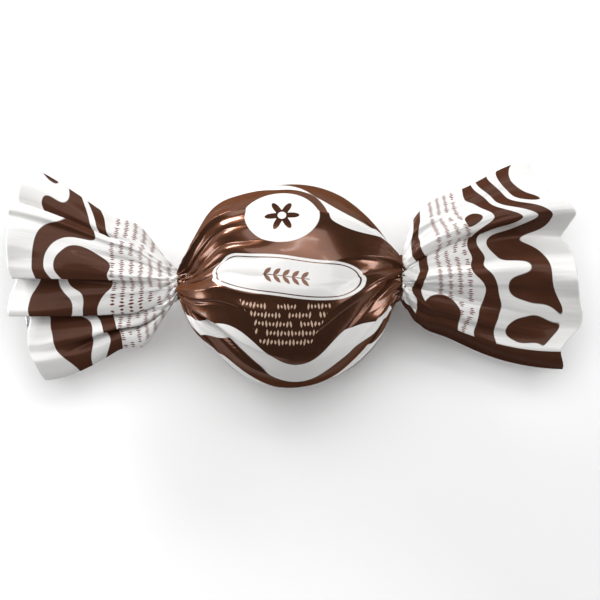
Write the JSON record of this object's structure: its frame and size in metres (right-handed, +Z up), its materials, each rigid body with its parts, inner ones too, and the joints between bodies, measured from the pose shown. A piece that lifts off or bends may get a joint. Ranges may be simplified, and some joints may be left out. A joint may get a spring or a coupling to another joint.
{
  "type": "twist-wrapped coconut truffle",
  "caption": "Domed coconut truffle lying on its flat base, shut in a glossy printed film that is twisted at both ends and fans out into pleated tails.",
  "frame": {"origin": "centre of the truffle's flat base, on the table", "axes": "+X along the twist axis towards the wider-necked tail, +Y towards the label's upper edge, +Z up out of the label"},
  "size_m": [0.1094, 0.0426, 0.0275],
  "materials": {
    "printed_film": "gloss"
  },
  "bodies": {
    "root": {"wrapped_truffle": "printed_film"}
  },
  "joints": []
}
